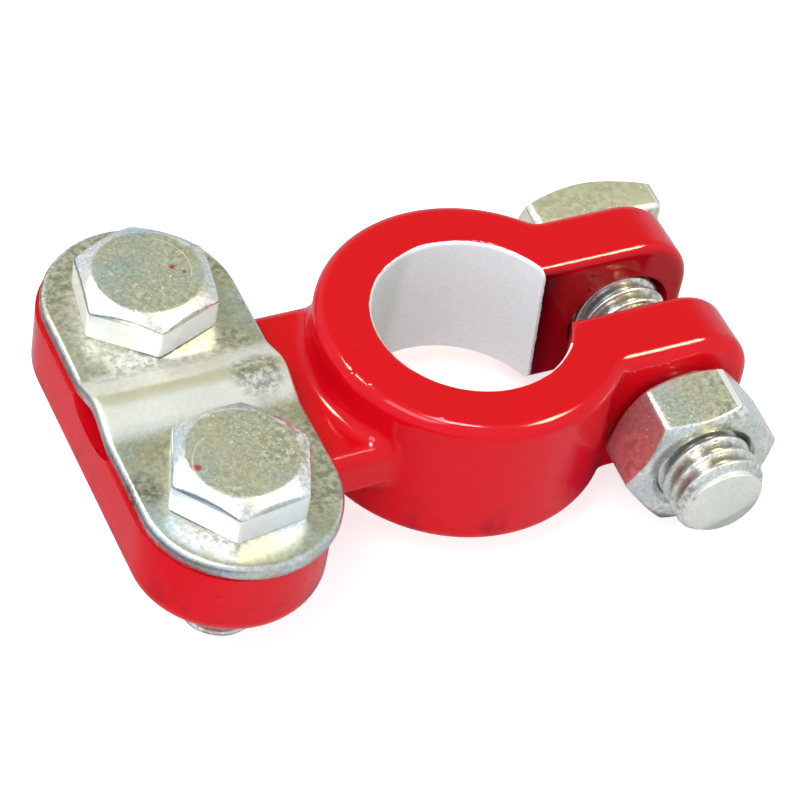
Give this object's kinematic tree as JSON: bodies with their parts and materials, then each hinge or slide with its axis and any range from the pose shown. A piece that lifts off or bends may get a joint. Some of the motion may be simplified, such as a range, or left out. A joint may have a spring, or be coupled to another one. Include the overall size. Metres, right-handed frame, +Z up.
{
  "type": "battery terminal clamp",
  "caption": "Cast enamelled clamp with a split tapered ring for a battery post, a pinch bolt through its ears, and a bolted strap that holds a cable on a saddle.",
  "frame": {"origin": "on the axis of the tapered post bore, level with the underside of the ring", "axes": "+Z up the post's axis, towards the narrow end of the taper; +X from the saddle towards the pinch ears; +Y towards the pinch bolt's square head"},
  "size_m": [0.0664, 0.0451, 0.0225],
  "materials": {
    "red_enamel": "gloss",
    "zinc_strap": "satin",
    "zinc_bolts": "satin"
  },
  "bodies": {
    "body": {"terminal_body": "red_enamel"},
    "strap": {"cable_plate": "zinc_strap"},
    "front_bolt": {"saddle_bolt_front": "zinc_bolts"},
    "rear_bolt": {"saddle_bolt_rear": "zinc_bolts"},
    "pinch_bolt": {"pinch_bolt": "zinc_bolts"},
    "pinch_nut": {"pinch_nut": "zinc_bolts"}
  },
  "joints": [
    {"name": "strap_lift", "type": "slide", "parent": "body", "child": "strap", "axis": [0, 0, 1], "range_m": [0, 0.01552]},
    {"name": "front_bolt_turn", "type": "hinge", "parent": "strap", "child": "front_bolt", "pos_m": [-0.0293, -0.012, 0.0142], "axis": [0, 0, 1], "range_deg": [0, 3960]},
    {"name": "rear_bolt_turn", "type": "hinge", "parent": "strap", "child": "rear_bolt", "pos_m": [-0.0293, 0.012, 0.0142], "axis": [0, 0, 1], "range_deg": [0, 3960]},
    {"name": "pinch_bolt_travel", "type": "slide", "parent": "body", "child": "pinch_bolt", "axis": [0.0506, 0.9987, 0], "range_m": [0, 0.01111]},
    {"name": "nut_turn", "type": "hinge", "parent": "body", "child": "pinch_nut", "pos_m": [0.01867, -0.01129, 0.0068], "axis": [-0.0506, -0.9987, 0], "range_deg": [0, 2520]}
  ],
  "couplings": [
    {"joint": "front_bolt_turn", "follows": "strap_lift", "rad_per_m": 4452.6},
    {"joint": "rear_bolt_turn", "follows": "strap_lift", "rad_per_m": 4452.6},
    {"joint": "nut_turn", "follows": "pinch_bolt_travel", "rad_per_m": 3957.9}
  ]
}
